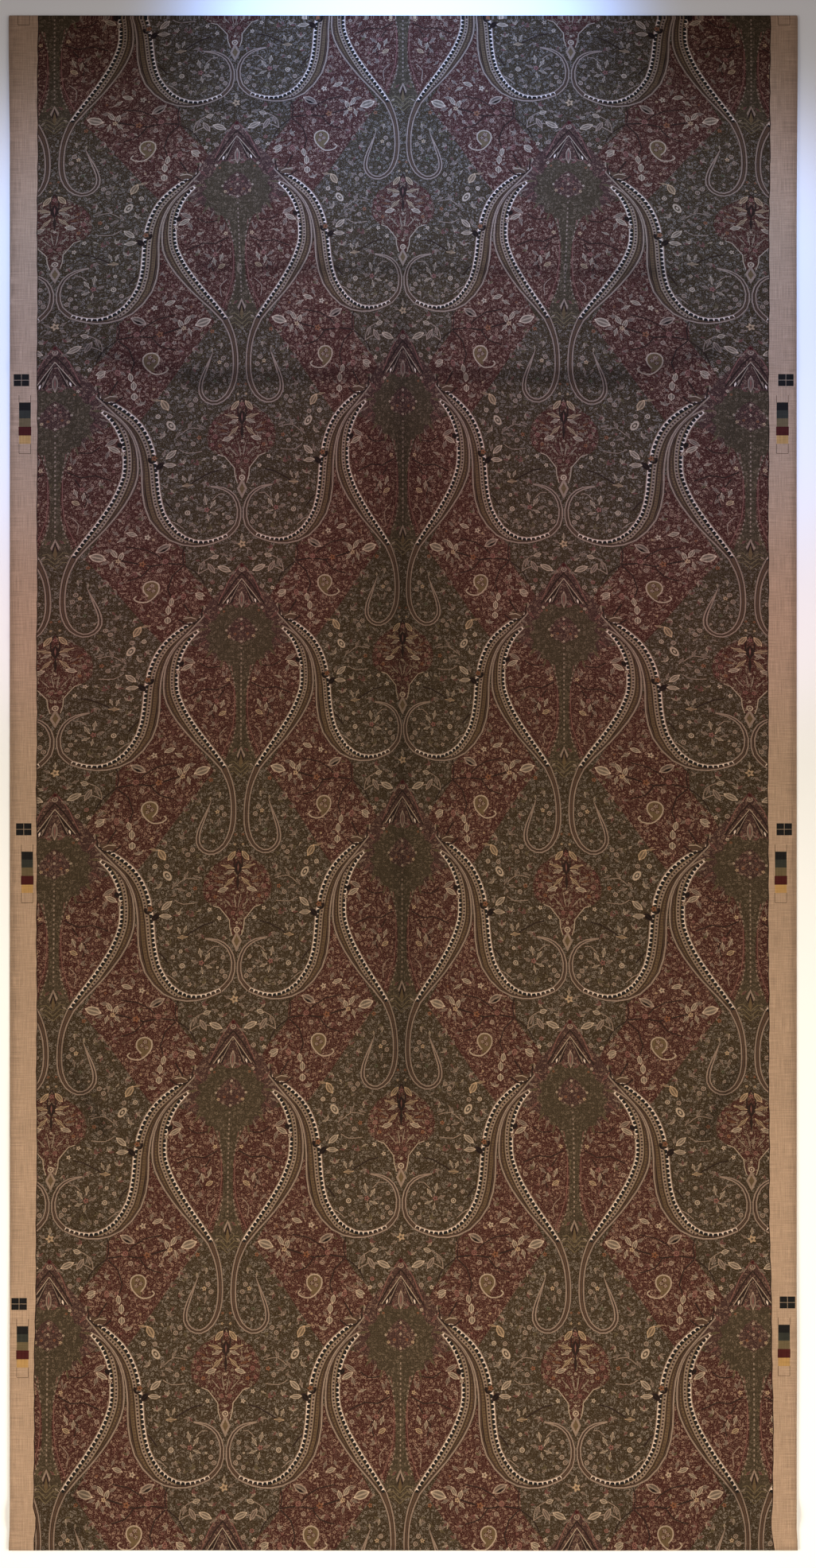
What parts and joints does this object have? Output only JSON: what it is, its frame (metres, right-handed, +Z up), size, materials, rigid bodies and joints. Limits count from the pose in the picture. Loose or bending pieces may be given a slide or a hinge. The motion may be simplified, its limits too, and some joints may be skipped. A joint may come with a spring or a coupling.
{
  "type": "length of printed furnishing linen",
  "caption": "Wide length of paisley-printed linen with plain selvedges, doubled end to end and lying flat with soft creases.",
  "frame": {"origin": "on the surface, under the middle of the doubled cloth", "axes": "+X across the cloth's width, +Y along its length towards the fold, +Z up out of the cloth"},
  "size_m": [1.45, 2.822, 0.0119],
  "materials": {
    "printed_linen": "matt plain-weave linen, printed in wine, dark green, olive, tan and cream with tan selvedges"
  },
  "bodies": {
    "root": {"cloth": "printed_linen"}
  },
  "joints": []
}
